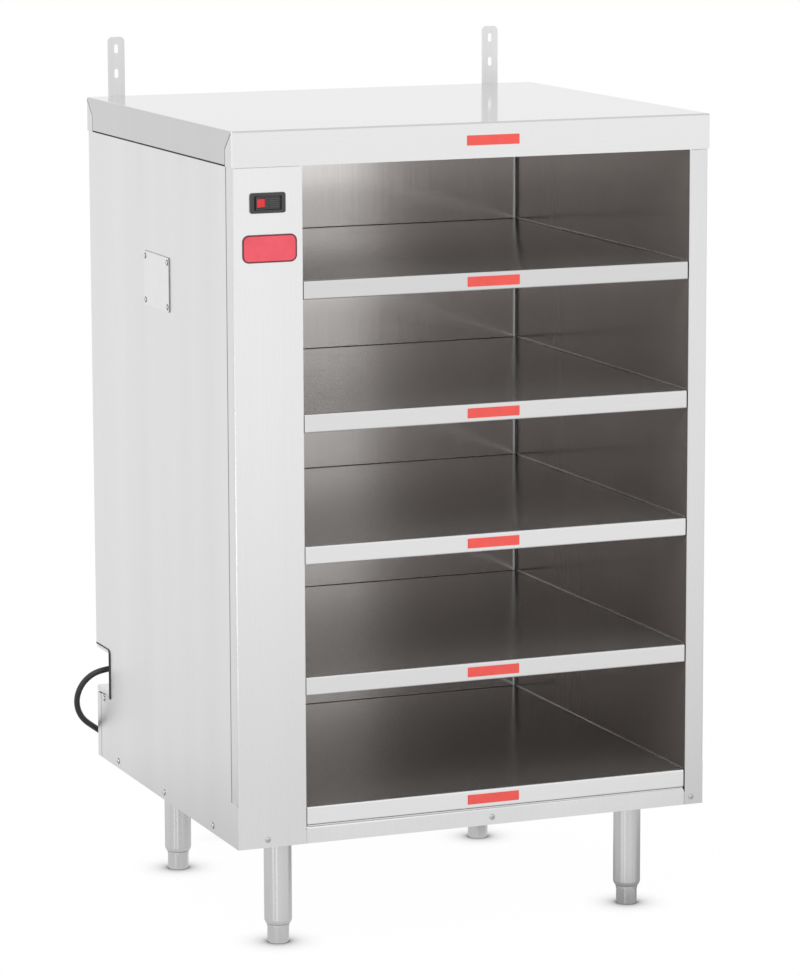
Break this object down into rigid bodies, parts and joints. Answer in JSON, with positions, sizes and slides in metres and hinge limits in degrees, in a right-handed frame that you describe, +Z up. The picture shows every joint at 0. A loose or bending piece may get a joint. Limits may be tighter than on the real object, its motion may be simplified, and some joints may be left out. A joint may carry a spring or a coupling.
{
  "type": "heated holding shelf",
  "caption": "Open-fronted stainless cabinet on adjustable legs with stacked heated shelves, a narrow control column with a rocker switch, wall straps at the rear and a power cord.",
  "frame": {"origin": "on the floor, under the middle of the cabinet's width and depth", "axes": "+Z up, +Y from the open front to the rear, +X to the right as seen from the front"},
  "size_m": [0.7231, 0.7561, 1.196],
  "materials": {
    "cabinet_steel": "satin, fine grain",
    "front_steel": "satin, fine grain",
    "cover_steel": "polished top, satin skirt",
    "liner_steel": "bright, reflective",
    "shelf_steel": "satin, reflective",
    "access_steel": "satin",
    "pocket_steel": "satin",
    "strap_steel": "satin",
    "leg_steel": "turned, satin",
    "foot_steel": "turned, satin",
    "screw_steel": "bright",
    "plated_steel": "zinc plated",
    "rivet_aluminium": "bright",
    "heater_mat": "matt silicone mat",
    "thermostat_plastic": "matt",
    "blanket_fibre": "glass fibre blanket",
    "terminal_plastic": "matt",
    "wire_plastic": "matt sleeve",
    "black_rubber": "matt",
    "switch_plastic": "satin",
    "lens_plastic": "clear red",
    "badge_paint": "satin red, bright edge",
    "marker_vinyl": "satin red film",
    "relief_plastic": "matt",
    "cord_rubber": "satin",
    "tie_fabric": "hook tape",
    "plug_rubber": "matt",
    "prong_brass": "bright"
  },
  "bodies": {
    "cabinet": {"side_panel_left": "cabinet_steel", "side_panel_right": "cabinet_steel", "rear_panel": "cabinet_steel", "base_pan": "cabinet_steel", "control_column": "front_steel", "right_stile": "front_steel", "front_apron": "front_steel", "top_cover": "cover_steel", "inner_wall_left": "liner_steel", "inner_wall_right": "liner_steel", "inner_wall_rear": "liner_steel", "inner_ceiling": "liner_steel", "shelf_1_pan": "shelf_steel", "shelf_2_pan": "shelf_steel", "shelf_3_pan": "shelf_steel", "shelf_4_pan": "shelf_steel", "shelf_5_pan": "shelf_steel", "shelf_closures": "shelf_steel", "access_cover": "access_steel", "cord_pocket": "pocket_steel", "wall_bracket_left": "strap_steel", "wall_bracket_right": "strap_steel", "leg_front_left": "leg_steel", "leg_front_right": "leg_steel", "leg_rear_left": "leg_steel", "leg_rear_right": "leg_steel", "panel_screws": "screw_steel", "access_cover_screws": "screw_steel", "bracket_screws": "screw_steel", "leg_mount_plates": "plated_steel", "leg_nuts": "plated_steel", "control_bracket": "plated_steel", "shelf_rivets": "rivet_aluminium", "shelf_heaters": "heater_mat", "shelf_thermostats": "thermostat_plastic", "insulation_left": "blanket_fibre", "insulation_right": "blanket_fibre", "insulation_rear": "blanket_fibre", "insulation_top": "blanket_fibre", "terminal_block": "terminal_plastic", "wiring_harness": "wire_plastic", "wire_grommets": "black_rubber", "notch_edge_trim": "black_rubber", "switch_housing": "switch_plastic", "badge_plate": "badge_paint", "marker_strips": "marker_vinyl", "strain_relief": "relief_plastic", "power_cord": "cord_rubber", "cord_coil": "cord_rubber", "cord_tail": "cord_rubber", "cord_tie": "tie_fabric", "power_plug": "plug_rubber", "plug_prongs": "prong_brass"},
    "rocker": {"switch_rocker": "switch_plastic", "switch_lens": "lens_plastic"},
    "levelling_foot_front_left": {"foot_front_left": "foot_steel"},
    "levelling_foot_front_right": {"foot_front_right": "foot_steel"},
    "levelling_foot_rear_left": {"foot_rear_left": "foot_steel"},
    "levelling_foot_rear_right": {"foot_rear_right": "foot_steel"}
  },
  "joints": [
    {"name": "rocker_tilt", "type": "hinge", "parent": "cabinet", "child": "rocker", "pos_m": [-0.2945, -0.299, 1.017], "axis": [0, 0, 1], "range_deg": [-16, 0]},
    {"name": "foot_screw_front_left", "type": "slide", "parent": "cabinet", "child": "levelling_foot_front_left", "axis": [0, 0, 1], "range_m": [-0.02, 0.016]},
    {"name": "foot_screw_front_right", "type": "slide", "parent": "cabinet", "child": "levelling_foot_front_right", "axis": [0, 0, 1], "range_m": [-0.02, 0.016]},
    {"name": "foot_screw_rear_left", "type": "slide", "parent": "cabinet", "child": "levelling_foot_rear_left", "axis": [0, 0, 1], "range_m": [-0.02, 0.016]},
    {"name": "foot_screw_rear_right", "type": "slide", "parent": "cabinet", "child": "levelling_foot_rear_right", "axis": [0, 0, 1], "range_m": [-0.02, 0.016]}
  ]
}
